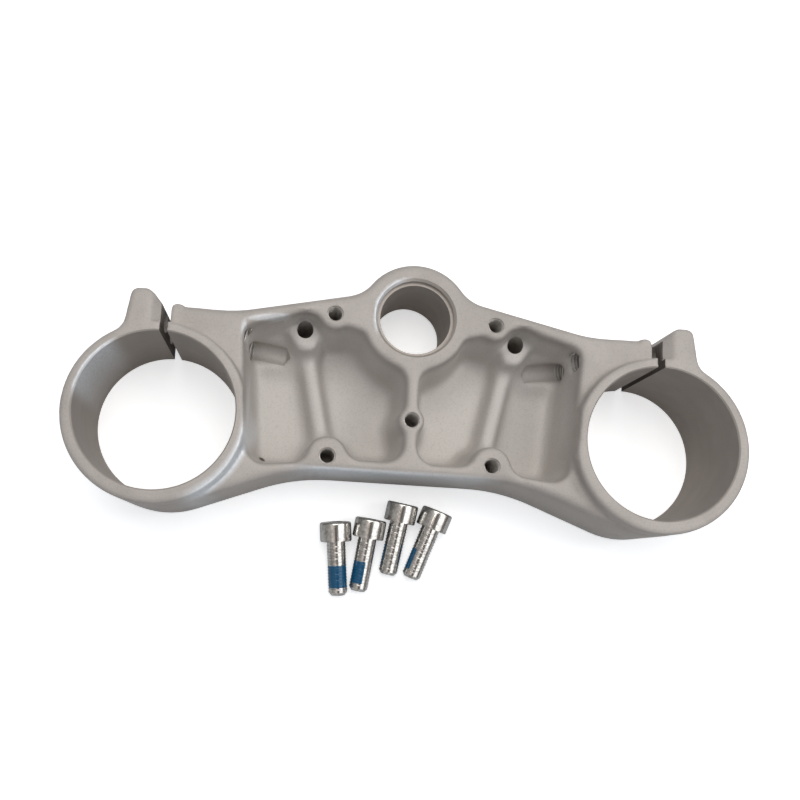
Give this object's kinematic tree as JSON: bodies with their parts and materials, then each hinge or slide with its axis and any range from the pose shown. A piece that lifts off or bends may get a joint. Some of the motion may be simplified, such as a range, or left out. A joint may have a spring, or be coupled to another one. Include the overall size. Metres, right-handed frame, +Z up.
{
  "type": "motorcycle triple clamp",
  "caption": "Lower triple clamp of a motorcycle fork: split fork clamps, stem bore and pocketed underside, with its socket head pinch bolts lying in front.",
  "frame": {"origin": "on the axis of the stem bore, on the plane that the clamp lies on", "axes": "+X runs across the two fork clamps, -Y points to the fork side, +Z up out of the pocketed side"},
  "size_m": [0.2632, 0.1324, 0.04],
  "materials": {
    "clamp_aluminium": "blasted, satin",
    "bolt_steel": "zinc plated"
  },
  "bodies": {
    "root": {"clamp_body": "clamp_aluminium", "pinch_bolt_1": "bolt_steel", "pinch_bolt_2": "bolt_steel", "pinch_bolt_3": "bolt_steel", "pinch_bolt_4": "bolt_steel"}
  },
  "joints": []
}
